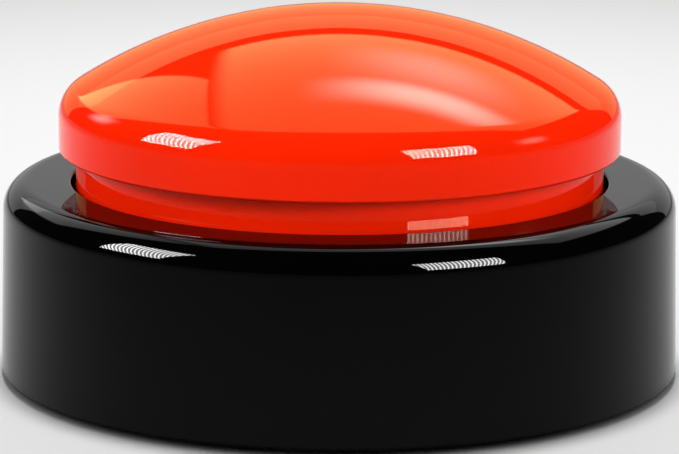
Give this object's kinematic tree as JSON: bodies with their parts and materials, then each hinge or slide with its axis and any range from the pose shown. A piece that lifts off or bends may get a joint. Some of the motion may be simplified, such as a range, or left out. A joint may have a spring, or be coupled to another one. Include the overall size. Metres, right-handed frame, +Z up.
{
  "type": "quiz buzzer",
  "caption": "Hand-sized round quiz buzzer: a sprung orange-red domed push cap on a black base with a loudspeaker and battery bay underneath.",
  "frame": {"origin": "on the table, under the middle of the base", "axes": "+Z up along the cap's press axis, -Y towards the front, with the battery bay on the +Y side"},
  "size_m": [0.09, 0.09, 0.0485],
  "materials": {
    "cap_plastic": "moulded orange-red ABS, high gloss",
    "base_plastic": "moulded black ABS, high gloss",
    "cover_plastic": "moulded black ABS, fine spark-eroded texture",
    "inner_plastic": "moulded grey ABS",
    "board": "green solder mask on board laminate",
    "resin": "drop of black resin",
    "capacitor_sleeve": "blue shrink sleeve",
    "silicone": "white silicone",
    "pressed_steel": "zinc-plated pressed steel",
    "speaker_paper": "black paper",
    "ferrite": "sintered ferrite",
    "screw_steel": "zinc-plated steel",
    "spring_steel": "drawn spring wire",
    "foot_rubber": "black rubber",
    "cell_wrap": "plain blue printed film on a steel can",
    "contact_nickel": "nickel-plated strip",
    "red_pvc": "PVC insulation",
    "black_pvc": "PVC insulation"
  },
  "bodies": {
    "base": {"base_shell": "base_plastic", "bottom_cover": "cover_plastic", "cover_screw_1": "screw_steel", "cover_screw_2": "screw_steel", "cover_screw_3": "screw_steel", "cover_screw_4": "screw_steel", "rubber_foot_1": "foot_rubber", "rubber_foot_2": "foot_rubber", "rubber_foot_3": "foot_rubber", "rubber_foot_4": "foot_rubber", "inner_deck": "inner_plastic", "deck_screw_1": "screw_steel", "deck_screw_2": "screw_steel", "deck_screw_3": "screw_steel", "deck_screw_4": "screw_steel", "return_spring_1": "spring_steel", "return_spring_2": "spring_steel", "return_spring_3": "spring_steel", "return_spring_4": "spring_steel", "circuit_board": "board", "sound_chip": "resin", "capacitor": "capacitor_sleeve", "switch_dome": "silicone", "speaker_frame": "pressed_steel", "speaker_cone": "speaker_paper", "speaker_magnet": "ferrite", "battery_1": "cell_wrap", "battery_2": "cell_wrap", "contact_bridge": "contact_nickel", "contact_plate_1": "contact_nickel", "contact_plate_2": "contact_nickel", "contact_spring_1": "spring_steel", "contact_spring_2": "spring_steel", "speaker_wire_1": "red_pvc", "speaker_wire_2": "black_pvc", "battery_wire_1": "red_pvc", "battery_wire_2": "black_pvc"},
    "button": {"dome_cap": "cap_plastic", "button_carrier": "inner_plastic", "carrier_screw_1": "screw_steel", "carrier_screw_2": "screw_steel", "carrier_screw_3": "screw_steel", "carrier_screw_4": "screw_steel"},
    "battery_door": {"battery_door": "cover_plastic", "door_screw": "screw_steel"}
  },
  "joints": [
    {"name": "cap_press", "type": "slide", "parent": "base", "child": "button", "axis": [0, 0, -1], "range_m": [0, 0.0035], "stiffness_N_per_m": 1500, "springref_m": -0.002, "deforming": ["return_spring_1", "return_spring_2", "return_spring_3", "return_spring_4", "switch_dome"]},
    {"name": "door_lift", "type": "slide", "parent": "base", "child": "battery_door", "axis": [0, 0, -1], "range_m": [0, 0.012]}
  ]
}
